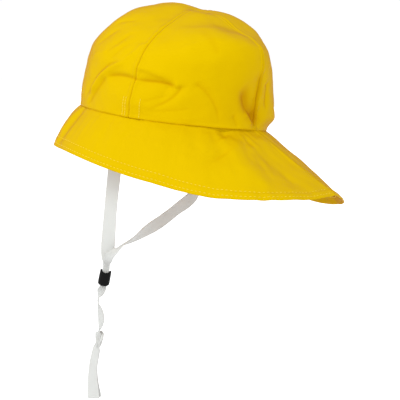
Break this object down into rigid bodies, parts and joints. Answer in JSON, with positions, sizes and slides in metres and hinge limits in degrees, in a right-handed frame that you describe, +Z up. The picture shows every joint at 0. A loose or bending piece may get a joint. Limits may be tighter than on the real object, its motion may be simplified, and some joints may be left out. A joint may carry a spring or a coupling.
{
  "type": "souwester hat",
  "caption": "Rain hat with a domed panelled crown, a turned-down brim that is longest over the neck, and two chin tapes joined through a small sliding stopper.",
  "frame": {"origin": "middle of the head opening, level with the seam between crown and brim over the ears, where a head carries the hat", "axes": "+Z up, the face looks along -Y, the neck is at +Y and the wearer's left is +X; the hat leans 3.9 degrees back and the straps hang plumb along -Z"},
  "size_m": [0.2191, 0.3151, 0.3922],
  "materials": {
    "coated_cloth": "smooth yellow waterproof coating with a soft sheen over woven cloth",
    "tape": "matt white woven tape with fine lengthwise ribs",
    "stopper": "black moulded plastic, half matt"
  },
  "bodies": {
    "root": {"crown_panel_front_left": "coated_cloth", "crown_panel_back_left": "coated_cloth", "crown_panel_back_right": "coated_cloth", "crown_panel_front_right": "coated_cloth", "brim": "coated_cloth", "strap_left": "tape", "strap_right": "tape", "stopper": "stopper", "strap_knot": "tape", "strap_tail_left": "tape", "strap_tail_right": "tape"}
  },
  "joints": []
}
